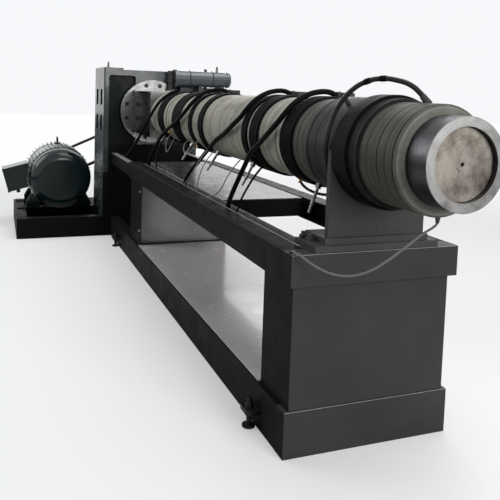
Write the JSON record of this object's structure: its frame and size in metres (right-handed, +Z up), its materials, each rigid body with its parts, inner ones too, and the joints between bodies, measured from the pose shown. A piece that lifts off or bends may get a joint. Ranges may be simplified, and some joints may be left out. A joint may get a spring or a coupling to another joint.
{
  "type": "plastic extruder",
  "caption": "Single-screw plastic extruder: belt-driven gearbox, square feed block and a long heated barrel on a black welded frame.",
  "frame": {"origin": "on the floor under the barrel axis, in the bottom face of the front plinth", "axes": "+X along the barrel towards the discharge end, +Y away from the motor side, +Z up"},
  "size_m": [5.45, 1.943, 1.527],
  "materials": {
    "frame_black": "gloss",
    "panel_grey": "semi-gloss",
    "gearbox_grey": "gloss",
    "tray_zinc": "satin",
    "machined_steel": "machined",
    "dark_steel": "oiled",
    "jacket": "satin",
    "support_black": "satin",
    "cable_black": "matt",
    "blued_steel": "blued",
    "stained_steel": "stained",
    "cooler_grey": "gloss",
    "motor_green": "gloss",
    "belt_rubber": "matt",
    "deck_grey": "gloss",
    "lead_grey": "satin",
    "brass": "satin"
  },
  "bodies": {
    "root": {"base_rail_near": "frame_black", "base_rail_far": "frame_black", "front_plinth": "frame_black", "base_cross_bars": "frame_black", "base_plate": "deck_grey", "top_beam_near": "frame_black", "top_beam_far": "frame_black", "front_rim": "frame_black", "rear_cross_beam": "frame_black", "frame_cross_bars": "frame_black", "front_cabinet": "frame_black", "front_panel": "panel_grey", "rear_pedestal": "frame_black", "rear_side_beams": "gearbox_grey", "cable_tray": "tray_zinc", "gearbox_stand": "gearbox_grey", "gearbox_housing": "gearbox_grey", "gearbox_eyebolt": "machined_steel", "output_flange": "machined_steel", "flange_screws": "dark_steel", "feed_block": "machined_steel", "barrel_tube": "blued_steel", "heater_jacket_1": "jacket", "heater_jacket_2": "jacket", "heater_jacket_3": "jacket", "heater_jacket_4": "jacket", "heater_jacket_5": "jacket", "saddle_cover": "support_black", "cable_straps": "cable_black", "head_ring": "blued_steel", "blank_disc": "stained_steel", "barrel_support": "support_black", "support_feet": "support_black", "oil_cooler": "cooler_grey", "cooler_bracket": "gearbox_grey", "drive_skid_sides": "frame_black", "drive_skid_ends": "frame_black", "motor_slide_rails": "frame_black", "motor_frame": "motor_green", "motor_cowl": "motor_green", "motor_feet": "motor_green", "motor_drive_shield": "motor_green", "terminal_box": "motor_green", "motor_pulley": "dark_steel", "gearbox_input_sleeve": "gearbox_grey", "gearbox_pulley": "dark_steel", "drive_belts": "belt_rubber", "levelling_feet": "dark_steel", "deck_plate": "deck_grey", "heater_terminals": "support_black", "thermocouples": "machined_steel", "cooler_valve": "support_black", "heater_lead_1": "cable_black", "heater_lead_2": "cable_black", "heater_lead_3": "cable_black", "hose_arch": "cable_black", "hanging_lead": "lead_grey"}
  },
  "joints": []
}
